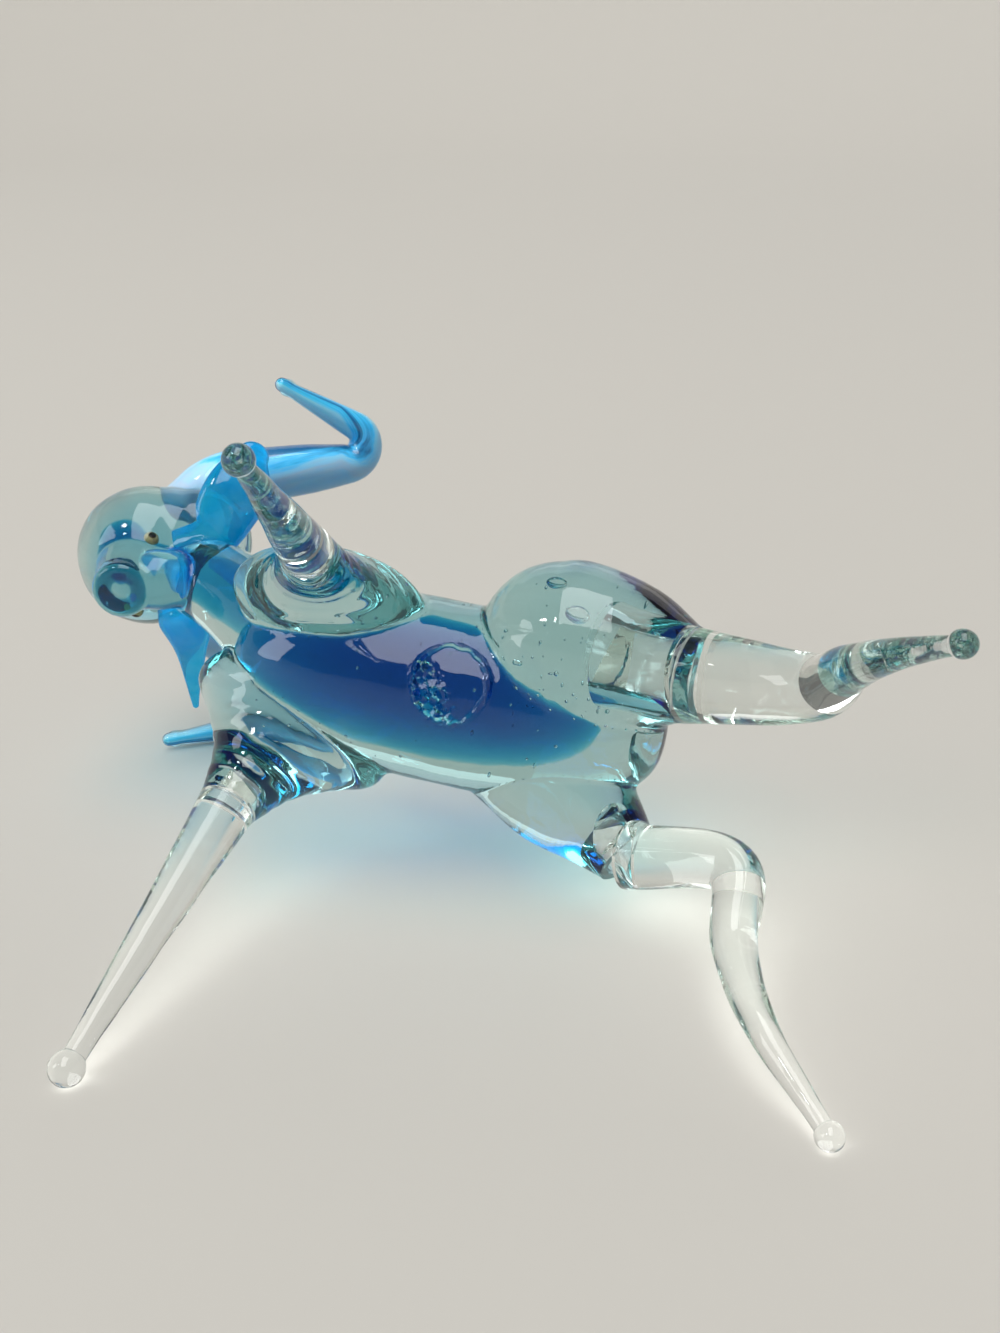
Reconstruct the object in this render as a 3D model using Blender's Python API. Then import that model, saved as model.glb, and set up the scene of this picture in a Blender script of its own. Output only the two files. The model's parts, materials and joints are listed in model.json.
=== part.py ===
"""Hot-worked glass antelope figurine, lying on its right side.

The animal is modelled standing on its four ball feet, in its own axes: X forward, Y to its left and Z up
from the soles. Each bit of glass is one object, and GAP stands for the fused joint between two bits. At
the end the whole figure is laid down on its right feet and its right horn, with its belly facing -Y.
"""

import math
import random

import bmesh
import bpy
from mathutils import Matrix, Vector

# Clearances and finish
GAP = 0.0003  # kept between every two bits
SOLE_CUT = 0.0003  # depth of the flat on each ball foot
SMOOTH_ANGLE = math.radians(40)

# Body: a clear gather over a blue core, on a level axis
BODY_HEIGHT = 0.071  # body axis above the soles
BODY_RADIUS = 0.0186
BODY_FRONT = 0.043
BODY_BACK = 0.0455
BODY_FULLNESS = 2.6  # 2 is an ellipse, more is a fuller barrel
CORE_RADIUS = 0.0098
CORE_FRONT = 0.033
CORE_BACK = 0.031

# Broken disc of the punty rod on the belly
PONTIL_RADIUS = 0.0082
PONTIL_RISE = 0.0012
PONTIL_X = -0.0022
PONTIL_TURN = math.radians(20)  # from straight down towards the left side

# Head: a clear crown with a snout bit below it, the nose pointing at the ground
HEAD_RISE = 0.029  # crown centre above the body axis
HEAD = Vector((0.0746, 0.003, BODY_HEIGHT + HEAD_RISE))
HEAD_RADIUS = 0.0155
HEAD_CORE_RADIUS = 0.0062
HEAD_CORE_SHIFT = Vector((0.0015, 0.0035, 0.0))
NOSE_DROP = 0.0235  # crown centre to the nose end
NOSE_OFFSET = Vector((-0.003, -0.004, 0.0))
FACE_RADIUS = 0.0112
SNOUT_RADIUS = 0.0054
NOSE_RADIUS = 0.0034
NOSE_DEPTH = 0.0016
EYE_RADIUS = 0.0016
EYE_DROP = 0.0115  # eye level below the crown centre

# Neck
NECK_BASE_X = 0.030
NECK_BASE_RADIUS = 0.0125
NECK_TOP_RADIUS = 0.0098
NECK_CORE_RADIUS = 0.0045

# Ears, as points from the crown centre and the half width there
EAR_THICKNESS = {"left": 0.42, "right": 0.55}  # of its width
EARS = {
    "left": [
        (-0.0070, 0.0040, -0.003, 0.0034),
        (-0.0143, 0.0090, -0.004, 0.0050),
        (-0.0158, 0.0164, -0.002, 0.0070),
        (-0.0168, 0.0232, 0.001, 0.0060),
        (-0.0171, 0.0285, 0.004, 0.0024),
    ],
    "right": [
        (-0.0070, -0.0050, -0.003, 0.0036),
        (-0.0126, -0.0103, -0.005, 0.0060),
        (-0.0148, -0.0180, -0.002, 0.0040),
        (-0.0164, -0.0255, 0.001, 0.0025),
        (-0.0170, -0.0318, 0.004, 0.0012),
    ],
}

# Horns: a rod bent twice, as its root, two corners and tip from the crown centre
HORNS = {
    "left": [(-0.001, 0.008, 0.004), (-0.0065, 0.018, 0.0085),
             (-0.046, 0.033, 0.035), (-0.016, 0.043, 0.019)],
    "right": [(-0.001, -0.008, 0.004), (-0.0065, -0.018, 0.0085),
              (-0.0485, -0.031, 0.035), (-0.009, -0.047, 0.0172)],
}
HORN_BENDS = (0.014, 0.0048)  # radius of the sweep back and of the curl forward
HORN_RADIUS = (0.0060, 0.0066, 0.0059, 0.0046, 0.0038, 0.0026, 0.0015)
HORN_SHARES = (0.0, 0.25, 0.48, 0.60, 0.70, 0.85, 1.0)  # of the horn's length, where it has these radii
HORN_CORE_SHARE = 0.55  # white cane in the horn's thickness
HORN_CORE_END = 0.86  # how far along the horn the cane reaches

# Forelegs: a flared shoulder from the body to the elbow, then a straight drawn rod to the foot. The elbow's
# height counts from the body axis
FORE_START = {"left": (0.0255, 0.0095), "right": (0.0288, -0.0110)}
ELBOW = {"left": (0.0290, 0.0245, -0.0245), "right": (0.0333, -0.0292, -0.0195)}
ELBOW_RADIUS = {"left": 0.0052, "right": 0.0058}
SHOULDER_WIDE = {"left": 0.0185, "right": 0.0192}  # half length of the flare along the body
SHOULDER_THIN = {"left": 0.0108, "right": 0.0138}
FORE_KNEE_RADIUS = {"left": 0.0034, "right": 0.0038}
FORE_ANKLE_RADIUS = {"left": 0.0017, "right": 0.0021}
FORE_FOOT = {"left": (0.0329, 0.0436), "right": (0.0385, -0.0626)}
FORE_BALL = {"left": 0.0026, "right": 0.0032}
FORE_STUB = 0.005  # how deep the rod's end sits in the shoulder

# Hind legs: a haunch bulge, a short upper leg and a drawn lower leg, as points and the radius there. Heights
# count from the body axis down to the stifle, and from the soles below it
HIND_START = {"left": (-0.0150, 0.0135, 0.0), "right": (-0.0210, -0.0060, 0.0020)}
HIND_START_RADIUS = {"left": 0.0140, "right": 0.0145}
HAUNCH = {"left": (-0.0250, 0.0160, -0.0015), "right": (-0.0315, -0.0120, -0.0030)}
HAUNCH_RADIUS = {"left": 0.0185, "right": 0.0130}
THIGH = {"left": (-0.0370, 0.0180, -0.0050), "right": (-0.0385, -0.0158, -0.0070)}
THIGH_RADIUS = {"left": 0.0152, "right": 0.0088}
STIFLE = {"left": (-0.0453, 0.0193, -0.0090), "right": (-0.0443, -0.0186, -0.0110)}
STIFLE_RADIUS = {"left": 0.0094, "right": 0.0066}
HOCK = {"left": (-0.0661, 0.0265, 0.0480), "right": (-0.0628, -0.0115, 0.0500)}
HOCK_RADIUS = {"left": 0.0062, "right": 0.0052}
CANNON = {"left": (-0.0684, 0.0338, 0.0350), "right": (-0.0653, -0.0204, 0.0360)}
CANNON_RADIUS = {"left": 0.0042, "right": 0.0042}
SHIN = {"left": (-0.0722, 0.0414, 0.0180), "right": (-0.0705, -0.0257, 0.0180)}
SHIN_RADIUS = {"left": 0.0025, "right": 0.0029}
HIND_ANKLE_RADIUS = {"left": 0.0016, "right": 0.0017}
HIND_FOOT = {"left": (-0.0762, 0.0474), "right": (-0.0830, -0.0331)}
HIND_BALL = {"left": 0.0023, "right": 0.0025}
HIND_STUB = {"left": 0.008, "right": 0.006}  # how deep the upper leg's end sits in the haunch
STUB_SHARE = 0.74  # a stub's radius in the joint's
LEG_RINGS = 3  # rings drawn from each of these points to the next

# Tail on the top of the rump
TAIL_X = -0.036
TAIL_REACH = 0.009
TAIL_LIFT = 0.010
TAIL_RADIUS = 0.0034
TAIL_TIP_RADIUS = 0.0018

# Resting place: the line from the right fore foot to the right hind foot, against the X axis
LIE_TURN = math.radians(-6.9)

# Glass colours
CLEAR = (0.78, 0.90, 0.91)
BLUE = (0.01, 0.05, 0.36)
CYAN = (0.02, 0.38, 0.66)
OPAL = (0.86, 0.90, 0.92)
DARK = (0.05, 0.05, 0.03)
FROSTED = (0.80, 0.88, 0.90)

for leftover in list(bpy.data.objects):
    bpy.data.objects.remove(leftover)

figure = bpy.data.objects.new("figure", None)
bpy.context.scene.collection.objects.link(figure)


def glass(piece, colour, roughness=0.02):
    """Give a piece its own glass."""
    material = bpy.data.materials.new(piece.name + "_glass")
    material.use_nodes = True
    shader = material.node_tree.nodes["Principled BSDF"]
    shader.inputs["Base Color"].default_value = (*colour, 1.0)
    shader.inputs["Roughness"].default_value = roughness
    shader.inputs["Metallic"].default_value = 0.0
    shader.inputs["IOR"].default_value = 1.5
    shader.inputs["Transmission Weight"].default_value = 1.0
    piece.data.materials.append(material)


def station(place, wide, thin=None):
    """One cross-section: its centre and its two half widths."""
    return (Vector(place), wide, wide if thin is None else thin)


def mix(first, second, share):
    """The station at a share of the way from the first to the second."""
    wide = first[1] + (second[1] - first[1]) * share
    thin = first[2] + (second[2] - first[2]) * share
    return (first[0].lerp(second[0], share), wide, thin)


def between(stations, per_span):
    """Stations on a smooth curve through the given ones, paced by the distances between them."""
    row = [mix(stations[1], stations[0], 2.0)] + stations + [mix(stations[-2], stations[-1], 2.0)]
    pace = [0.0]
    for here, there in zip(row, row[1:]):
        pace.append(pace[-1] + math.sqrt((there[0] - here[0]).length))
    flow = []
    for i in range(1, len(row) - 2):
        start, end = pace[i], pace[i + 1]
        for step in range(per_span):
            t = start + (end - start) * step / per_span
            before, here, after = (mix(row[k], row[k + 1], (t - pace[k]) / (pace[k + 1] - pace[k]))
                                   for k in range(i - 1, i + 2))
            early = mix(before, here, (t - pace[i - 1]) / (end - pace[i - 1]))
            late = mix(here, after, (t - start) / (pace[i + 2] - start))
            flow.append(mix(early, late, (t - start) / (end - start)))
    return flow + [stations[-1]]


def bent_rod(corners, bends, radii, shares, count):
    """Stations of a rod from corner to corner with round bends, with its radii at shares of its length."""
    track = [corners[0]]
    for before, corner, after, radius in zip(corners, corners[1:], corners[2:], bends):
        back = (before - corner).normalized()
        onward = (after - corner).normalized()
        half = back.angle(onward) / 2
        centre = corner + (back + onward).normalized() * radius / math.sin(half)
        start = (corner + back * radius / math.tan(half) - centre).normalized()
        end = (corner + onward * radius / math.tan(half) - centre).normalized()
        track += [centre + start.slerp(end, k / 10) * radius for k in range(11)]
    track.append(corners[-1])
    run = [0.0]
    for here, there in zip(track, track[1:]):
        run.append(run[-1] + (there - here).length)
    stations = []
    for i in range(count + 1):
        share = i / count
        place = share * run[-1]
        k = next(k for k in range(1, len(run)) if place <= run[k] + 1e-9)
        spot = track[k - 1].lerp(track[k], (place - run[k - 1]) / (run[k] - run[k - 1]))
        j = next(j for j in range(1, len(shares)) if share <= shares[j] + 1e-9)
        part = (share - shares[j - 1]) / (shares[j] - shares[j - 1])
        stations.append(station(spot, radii[j - 1] + (radii[j] - radii[j - 1]) * part))
    return stations


def ovoid(start, end, radius, fullness, count):
    """Stations of a barrel with round ends from start to end."""
    stations = []
    for i in range(count + 1):
        u = -math.cos(math.pi * i / count)
        share = max(0.0, 1 - abs(u) ** fullness) ** (1 / fullness)
        stations.append(station(start.lerp(end, (u + 1) / 2), radius * share))
    return stations


def round_tip(stations, count=4):
    """Close the last station with a dome of its own radius."""
    centre, wide, thin = stations[-1]
    along = (centre - stations[-2][0]).normalized()
    dome = []
    for i in range(1, count + 1):
        turn = math.pi / 2 * i / count
        share = max(0.0, math.cos(turn)) if i < count else 0.0
        dome.append((centre + along * thin * math.sin(turn), wide * share, thin * share))
    return stations + dome


def ball_foot(stations, centre, radius, count=7):
    """End a leg in a ball, from where the ball is as wide as the ankle."""
    ankle = stations[-1][1]
    along = (centre - stations[-2][0]).normalized()
    first = math.asin(min(1.0, ankle / radius))
    balls = []
    for i in range(count + 1):
        turn = first + (math.pi - first) * i / count
        share = math.sin(turn) if i < count else 0.0
        balls.append(station(centre - along * radius * math.cos(turn), radius * share))
    return stations[:-1] + balls


def rings_along(stations, sides, facing=None):
    """Rings of points square to the path, or to a given facing, and the path's direction at each."""
    rings = []
    aims = []
    count = len(stations)
    side = Vector((1, 0, 0))
    for i, (centre, wide, thin) in enumerate(stations):
        aim = facing or (stations[min(i + 1, count - 1)][0] - stations[max(i - 1, 0)][0]).normalized()
        side = side - aim * side.dot(aim)
        if side.length < 1e-4:
            side = aim.orthogonal()
        side.normalize()
        other = aim.cross(side)
        if max(wide, thin) < 1e-7:
            rings.append([centre])
        else:
            turns = (2 * math.pi * k / sides for k in range(sides))
            rings.append([centre + side * wide * math.cos(a) + other * thin * math.sin(a) for a in turns])
        aims.append(aim)
    return rings, aims


def split(rings, aims, at, stub=None):
    """Part a run of rings at one ring. The second part may reach back into the first with a stub."""
    step = aims[at] * GAP * 1.25
    start = [point + step for point in rings[at]]
    if stub is None:
        return rings[:at + 1], [start] + rings[at + 1:]
    middle = sum(start, Vector()) / len(start)
    neck = [middle.lerp(point, STUB_SHARE) for point in start]
    end = [point + stub for point in neck]
    return rings[:at + 1], [end, neck, start] + rings[at + 1:]


def skin(name, rings, colour, roughness=0.02, sole=False):
    """Loft a closed piece over rings; a ring of one point is a tip, and an open end gets a flat face."""
    form = bmesh.new()
    loops = [[form.verts.new(point) for point in ring] for ring in rings]
    for lower, upper in zip(loops, loops[1:]):
        count = max(len(lower), len(upper))
        for k in range(count):
            corners = [lower[k % len(lower)], lower[(k + 1) % len(lower)],
                       upper[(k + 1) % len(upper)], upper[k % len(upper)]]
            form.faces.new(list(dict.fromkeys(corners)))
    for end in (loops[0], loops[-1]):
        if len(end) > 1:
            form.faces.new(end)
    if sole:
        whole = form.verts[:] + form.edges[:] + form.faces[:]
        bmesh.ops.bisect_plane(form, geom=whole, plane_co=(0, 0, 0), plane_no=(0, 0, -1), clear_outer=True)
        bmesh.ops.edgeloop_fill(form, edges=[edge for edge in form.edges if edge.is_boundary])
    bmesh.ops.recalc_face_normals(form, faces=form.faces)
    mesh = bpy.data.meshes.new(name)
    form.to_mesh(mesh)
    form.free()
    mesh.shade_smooth()
    mesh.set_sharp_from_angle(angle=SMOOTH_ANGLE)
    piece = bpy.data.objects.new(name, mesh)
    bpy.context.scene.collection.objects.link(piece)
    piece.parent = figure
    glass(piece, colour, roughness)
    return piece


def seat(piece, *neighbours):
    """Cut a piece back to GAP from its neighbours' outer forms."""
    for neighbour in neighbours:
        name = "seat_of_" + neighbour.name
        cutter = bpy.data.objects.get(name)
        if cutter is None:
            form = bmesh.new()
            form.from_mesh(neighbour.data)
            form.normal_update()
            for vert in form.verts:
                vert.co += vert.normal * GAP * vert.calc_shell_factor()
            mesh = bpy.data.meshes.new(name)
            form.to_mesh(mesh)
            form.free()
            cutter = bpy.data.objects.new(name, mesh)
            bpy.context.scene.collection.objects.link(cutter)
            cutter.parent = figure
            cutter.hide_render = True
            cutter.display_type = "WIRE"
        cut = piece.modifiers.new(name, "BOOLEAN")
        cut.operation = "DIFFERENCE"
        cut.solver = "EXACT"
        cut.object = cutter


def on_axis(x, aside=0.0, rise=0.0):
    """A point on the body's axis, or off it by the given steps."""
    return Vector((x, aside, BODY_HEIGHT + rise))


def make_body():
    """Blue core, clear casing over it and the punty's broken disc on the belly."""
    core, _ = rings_along(ovoid(on_axis(-CORE_BACK), on_axis(CORE_FRONT), CORE_RADIUS, 2.3, 12), 20)
    body_core = skin("body_core", core, BLUE)
    barrel = ovoid(on_axis(-BODY_BACK), on_axis(BODY_FRONT), BODY_RADIUS, BODY_FULLNESS, 16)
    casing, _ = rings_along(barrel, 28)
    body_casing = skin("body_casing", casing, CLEAR)
    seat(body_casing, body_core)

    outward = Vector((0, math.sin(PONTIL_TURN), -math.cos(PONTIL_TURN)))
    foot = on_axis(PONTIL_X) + outward * BODY_RADIUS
    profile = [(-0.0040, 0.90), (PONTIL_RISE * 0.4, 1.0), (PONTIL_RISE, 0.90), (PONTIL_RISE * 0.7, 0.72),
               (PONTIL_RISE * 0.5, 0.42), (PONTIL_RISE * 0.6, 0.0)]
    stations = [station(foot + outward * rise, PONTIL_RADIUS * share) for rise, share in profile]
    disc, _ = rings_along(stations, 22, outward)
    chips = random.Random(4)
    for ring in disc[2:]:
        for point in ring:
            point += outward * chips.uniform(-0.3, 0.3) * PONTIL_RISE
    pontil = skin("pontil_wad", disc, FROSTED, 0.35)
    pontil.modifiers.new("chipped_facets", "TRIANGULATE")
    seat(pontil, body_casing)
    return body_core, body_casing, pontil


def make_head():
    """Crown, its blue core, the snout with its nose dot, and the eyes."""
    down = Vector((0, 0, -1))
    middle = HEAD + HEAD_CORE_SHIFT
    half = HEAD_CORE_RADIUS * 1.35
    core, _ = rings_along(ovoid(middle - down * half, middle + down * half, HEAD_CORE_RADIUS, 2.0, 8), 14)
    head_core = skin("head_core", core, BLUE)
    top = HEAD - down * HEAD_RADIUS * 0.95
    bottom = HEAD + down * HEAD_RADIUS * 0.95
    crown, _ = rings_along(ovoid(top, bottom, HEAD_RADIUS, 2.1, 12), 20)
    head_casing = skin("head_casing", crown, CLEAR)
    seat(head_casing, head_core)

    tip = HEAD + down * NOSE_DROP + NOSE_OFFSET
    face = [station(HEAD + down * 0.004, FACE_RADIUS * 0.8),
            station(HEAD.lerp(tip, 0.42), FACE_RADIUS),
            station(HEAD.lerp(tip, 0.68), (FACE_RADIUS + SNOUT_RADIUS) / 2),
            station(HEAD.lerp(tip, 0.90), SNOUT_RADIUS),
            station(HEAD.lerp(tip, 0.97), SNOUT_RADIUS * 0.97),
            station(tip, SNOUT_RADIUS * 0.74)]
    snout, _ = rings_along(between(face, 2), 18)
    muzzle = skin("muzzle", snout, CLEAR)
    seat(muzzle, head_casing)

    along = (tip - HEAD).normalized()
    dot = ovoid(tip - along * NOSE_DEPTH, tip + along * NOSE_DEPTH * 0.35, NOSE_RADIUS, 3.0, 6)
    nose = skin("nose", rings_along(dot, 12)[0], BLUE)
    seat(muzzle, nose)

    eye_level = HEAD.lerp(tip, EYE_DROP / NOSE_DROP)
    for name, outward in (("left", 1), ("right", -1)):
        place = eye_level + Vector((-0.25, outward, 0)).normalized() * FACE_RADIUS
        bead = ovoid(place - down * EYE_RADIUS, place + down * EYE_RADIUS, EYE_RADIUS, 2.0, 6)
        eye = skin("eye_" + name, rings_along(bead, 10)[0], DARK)
        seat(muzzle, eye)
        seat(head_casing, eye)
    return head_core, head_casing, muzzle


def make_neck(body_core, body_casing, head_core, head_casing, muzzle):
    """Blue rod from core to core and the clear sleeve over it."""
    base = on_axis(NECK_BASE_X)
    bow = base.lerp(HEAD, 0.5) + Vector((0.002, 0, -0.001))
    rod = between([station(base, NECK_CORE_RADIUS), station(bow, NECK_CORE_RADIUS),
                   station(HEAD, NECK_CORE_RADIUS * 0.85)], 5)
    neck_core = skin("neck_core", rings_along(rod, 14)[0], BLUE)
    seat(neck_core, body_core, head_core)
    seat(body_casing, neck_core)
    seat(head_casing, neck_core)
    seat(muzzle, neck_core)
    sleeve = between([station(base, NECK_BASE_RADIUS), station(bow, (NECK_BASE_RADIUS + NECK_TOP_RADIUS) / 2),
                      station(HEAD, NECK_TOP_RADIUS)], 5)
    neck_casing = skin("neck_casing", rings_along(sleeve, 18)[0], CLEAR)
    seat(neck_casing, neck_core, body_casing, head_casing, muzzle)
    return neck_casing


def make_ear(name, head_casing, neck_casing):
    """Leaf of cyan glass, flat towards the front of the head."""
    points = [station(HEAD + Vector(row[:3]), row[3], row[3] * EAR_THICKNESS[name]) for row in EARS[name]]
    leaf, _ = rings_along(round_tip(between(points, 3)), 12)
    ear = skin("ear_" + name, leaf, CYAN)
    seat(ear, head_casing, neck_casing)


def make_horn(name, head_casing):
    """Curled cyan horn drawn over an opal white cane."""
    corners = [HEAD + Vector(corner) for corner in HORNS[name]]
    path = bent_rod(corners, HORN_BENDS, HORN_RADIUS, HORN_SHARES, 24)
    horn = skin("horn_" + name, rings_along(round_tip(path), 14)[0], CYAN)
    reach = round(HORN_CORE_END * (len(path) - 1))
    inner = [station(spot[0], spot[1] * HORN_CORE_SHARE) for spot in path[:reach + 1]]
    cane = skin("horn_core_" + name, rings_along(round_tip(inner, 3), 9)[0], OPAL)
    seat(horn, cane, head_casing)
    seat(cane, head_casing)
    return path


def make_foreleg(name, body_casing, neck_casing):
    """Flared shoulder on the chest and the drawn rod below it."""
    start = on_axis(*FORE_START[name])
    elbow = on_axis(*ELBOW[name])
    radius = FORE_BALL[name]
    foot = Vector((*FORE_FOOT[name], radius - SOLE_CUT))
    ankle = foot - (foot - elbow).normalized() * radius * 1.6
    profile = [(-0.12, 0.70, 0.70), (0.0, 0.94, 0.94), (0.25, 1.0, 1.0), (0.38, 0.80, 0.84),
               (0.66, 0.46, 0.60)]  # share of the way down, of the two half widths
    flare = [station(start.lerp(elbow, share), SHOULDER_WIDE[name] * wide, SHOULDER_THIN[name] * thin)
             for share, wide, thin in profile]
    joint = station(elbow, ELBOW_RADIUS[name])
    upper = between(flare + [joint], 2)
    leg = [joint,
           station(elbow.lerp(ankle, 0.5), FORE_KNEE_RADIUS[name]),
           station(ankle, FORE_ANKLE_RADIUS[name])]
    lower = ball_foot(between(leg, 4), foot, radius)
    rings, aims = rings_along(upper + lower[1:], 16)
    bulge, rod = split(rings, aims, len(upper) - 1, (start - elbow).normalized() * FORE_STUB)
    shoulder = skin("shoulder_" + name, bulge, CLEAR)
    foreleg = skin("foreleg_" + name, rod, CLEAR, sole=True)
    seat(shoulder, body_casing, neck_casing, foreleg)
    return station(foot, radius)


def make_hind_leg(name, body_casing):
    """Haunch bulge, upper leg and drawn lower leg, on one curve from the body to the foot."""
    radius = HIND_BALL[name]
    foot = Vector((*HIND_FOOT[name], radius - SOLE_CUT))
    shin = Vector(SHIN[name])
    ankle = foot - (foot - shin).normalized() * radius * 1.6
    thigh = on_axis(*THIGH[name])
    knee = on_axis(*STIFLE[name])
    bulge = between([station(on_axis(*HIND_START[name]), HIND_START_RADIUS[name]),
                     station(on_axis(*HAUNCH[name]), HAUNCH_RADIUS[name]),
                     station(thigh, THIGH_RADIUS[name]),
                     station(knee, STIFLE_RADIUS[name])], LEG_RINGS)
    root = round_tip([bulge[1], bulge[0]])
    bulge = root[:1:-1] + bulge
    upper = between([station(knee, STIFLE_RADIUS[name]),
                     station(HOCK[name], HOCK_RADIUS[name]),
                     station(CANNON[name], CANNON_RADIUS[name]),
                     station(shin, SHIN_RADIUS[name]),
                     station(ankle, HIND_ANKLE_RADIUS[name])], LEG_RINGS)
    rings, aims = rings_along(ball_foot(bulge + upper[1:], foot, radius), 16)
    stifle = len(bulge) - 1
    upper_leg, lower_leg = split(rings, aims, stifle + LEG_RINGS)
    top, upper_leg = split(upper_leg, aims, stifle, (thigh - knee).normalized() * HIND_STUB[name])
    haunch = skin("haunch_" + name, top, CLEAR)
    gaskin = skin("gaskin_" + name, upper_leg, CLEAR)
    skin("cannon_" + name, lower_leg, CLEAR, sole=True)
    seat(haunch, body_casing, gaskin)
    seat(gaskin, body_casing)
    return haunch, station(foot, radius)


def make_tail(body_casing):
    """Short curl on top of the rump."""
    base = on_axis(TAIL_X, rise=BODY_RADIUS * 0.55)
    bend = base + Vector((-TAIL_REACH * 0.7, 0, TAIL_LIFT * 0.5))
    tip = base + Vector((-TAIL_REACH, 0, TAIL_LIFT + BODY_RADIUS * 0.1))
    curl = between([station(base, TAIL_RADIUS), station(bend, TAIL_RADIUS * 0.9),
                    station(tip, TAIL_TIP_RADIUS)], 3)
    tail = skin("tail", rings_along(round_tip(curl), 12)[0], CYAN)
    seat(tail, body_casing)


def lay_down(fore, hind, horn):
    """Turn the figure so that two feet and the lowest place on a horn rest on the ground, over the origin."""
    normal = Vector((0, 1, 0))
    for _ in range(30):
        lowest = min(horn, key=lambda spot: spot[0].dot(normal) - spot[1])
        front, back, side = (spot[0] - normal * spot[1] for spot in (fore, hind, lowest))
        square = (back - front).cross(side - front).normalized()
        normal = square if square.y > 0 else -square
    along = back - front
    along = (along - normal * along.dot(normal)).normalized()
    axes = Matrix((along, normal.cross(along), normal))
    turn = Matrix.Rotation(LIE_TURN, 3, "Z") @ axes
    figure.matrix_world = turn.to_4x4()
    bpy.context.view_layer.update()
    view = bpy.context.evaluated_depsgraph_get()
    corners = []
    for piece in bpy.data.objects:
        if piece.type == "MESH" and not piece.hide_render:
            solid = piece.evaluated_get(view)
            corners += [solid.matrix_world @ vert.co for vert in solid.data.vertices]
    low = [min(corner[k] for corner in corners) for k in range(3)]
    high = [max(corner[k] for corner in corners) for k in range(3)]
    shift = Vector((-(low[0] + high[0]) / 2, -(low[1] + high[1]) / 2, -low[2]))
    figure.matrix_world = Matrix.Translation(shift) @ figure.matrix_world


body_core, body_casing, pontil = make_body()
head_core, head_casing, muzzle = make_head()
neck_casing = make_neck(body_core, body_casing, head_core, head_casing, muzzle)
horns = {}
for side in ("left", "right"):
    make_ear(side, head_casing, neck_casing)
    horns[side] = make_horn(side, head_casing)
feet = {}
for side in ("left", "right"):
    feet["fore_" + side] = make_foreleg(side, body_casing, neck_casing)
    haunch, feet["hind_" + side] = make_hind_leg(side, body_casing)
    seat(pontil, haunch)
make_tail(body_casing)
lay_down(feet["fore_right"], feet["hind_right"], horns["right"])
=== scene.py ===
"""Hot-worked glass antelope, lying on its right side on a pale floor.

Each section is one bit of glass, or one pair of like bits, in the order in which the figure is made: the blue
gather, the clear glass over it with the bits fused on, the trims of the head, the drawn legs and the tail.
Metres throughout.
"""

import json
import math
import random

import bmesh
import bpy
import numpy as np
from mathutils import Matrix, Vector, noise


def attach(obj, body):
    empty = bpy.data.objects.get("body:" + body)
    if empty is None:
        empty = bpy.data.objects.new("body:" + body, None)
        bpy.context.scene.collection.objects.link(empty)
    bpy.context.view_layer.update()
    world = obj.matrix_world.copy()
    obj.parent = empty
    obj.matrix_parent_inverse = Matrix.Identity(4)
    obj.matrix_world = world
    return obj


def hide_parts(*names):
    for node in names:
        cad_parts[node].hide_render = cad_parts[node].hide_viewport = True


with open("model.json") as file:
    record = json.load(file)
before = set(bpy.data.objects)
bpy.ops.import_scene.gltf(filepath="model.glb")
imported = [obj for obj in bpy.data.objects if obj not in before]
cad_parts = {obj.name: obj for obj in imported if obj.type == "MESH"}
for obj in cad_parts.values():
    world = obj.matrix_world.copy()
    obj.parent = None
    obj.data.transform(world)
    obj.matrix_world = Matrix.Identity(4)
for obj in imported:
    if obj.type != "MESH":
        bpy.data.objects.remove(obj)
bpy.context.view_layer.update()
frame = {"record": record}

# How the figure lies. Its bits are written as it would stand: X forward, Y to its left, Z up from the soles.
# The record holds the four sole flats where it lies, and the plane through them turns one into the other.
FORE_FOOT = {"left": (0.0329, 0.0436), "right": (0.0385, -0.0626)}
HIND_FOOT = {"left": (-0.0762, 0.0474), "right": (-0.0830, -0.0331)}
sole = {mount["name"]: mount["pos_m"] for mount in frame["record"]["mounts"]}
stood, lain = [], []
for side in ("left", "right"):
    stood += [(*FORE_FOOT[side], 1.0), (*HIND_FOOT[side], 1.0)]
    lain += [sole["sole_fore_" + side], sole["sole_hind_" + side]]
solved = np.linalg.lstsq(np.array(stood), np.array(lain), rcond=None)[0]
forward = Vector(solved[0]).normalized()
upward = forward.cross(Vector(solved[1])).normalized()
figure = Matrix((forward, upward.cross(forward), upward)).transposed().to_4x4()
figure.translation = Vector(solved[2])

# Blue core: the first gather, a cobalt blue bar that is rolled to a barrel, drawn out at one end for the neck
# and the head, and drawn thin along one side. It lies deep in the clear glass, which makes it look half as
# thick again.
BODY_HEIGHT = 0.071
SWING = math.tan(math.radians(4.5))  # of the gather, from the body's middle line
CORE_RADIUS = 0.0098
CORE_FRONT = 0.041
CORE_BACK = 0.031
CORE_FULLNESS = 2.3  # 2 is an egg, and more is a fuller barrel
CORE_EDGE = Vector((0, -0.84, -0.54))  # the way from its middle line to the side that was drawn out thin
CORE_DRAWN = 1.16  # how much further that side reaches
CORE_SOFTENING = 14  # passes that melt its joins together
NECK_BASE_X = 0.030
NECK_BOW = Vector((0.001, 0.0015, 0.0035))  # how far the neck bows off a straight line
NECK_CORE_RADIUS = 0.0032
NECK_CORE_TAPER = 0.7
HEAD = Vector((0.0746, 0.003, BODY_HEIGHT + 0.029))
HEAD_CORE_RADIUS = 0.0038
HEAD_CORE_TALL = 1.35  # its height as a share of its width
HEAD_CORE_SHIFT = Vector((0.0040, 0.0008, -0.0007))
DOWN = Vector((0, 0, -1))
VOXEL = 0.0006  # mesh size of bits that have run together
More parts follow.
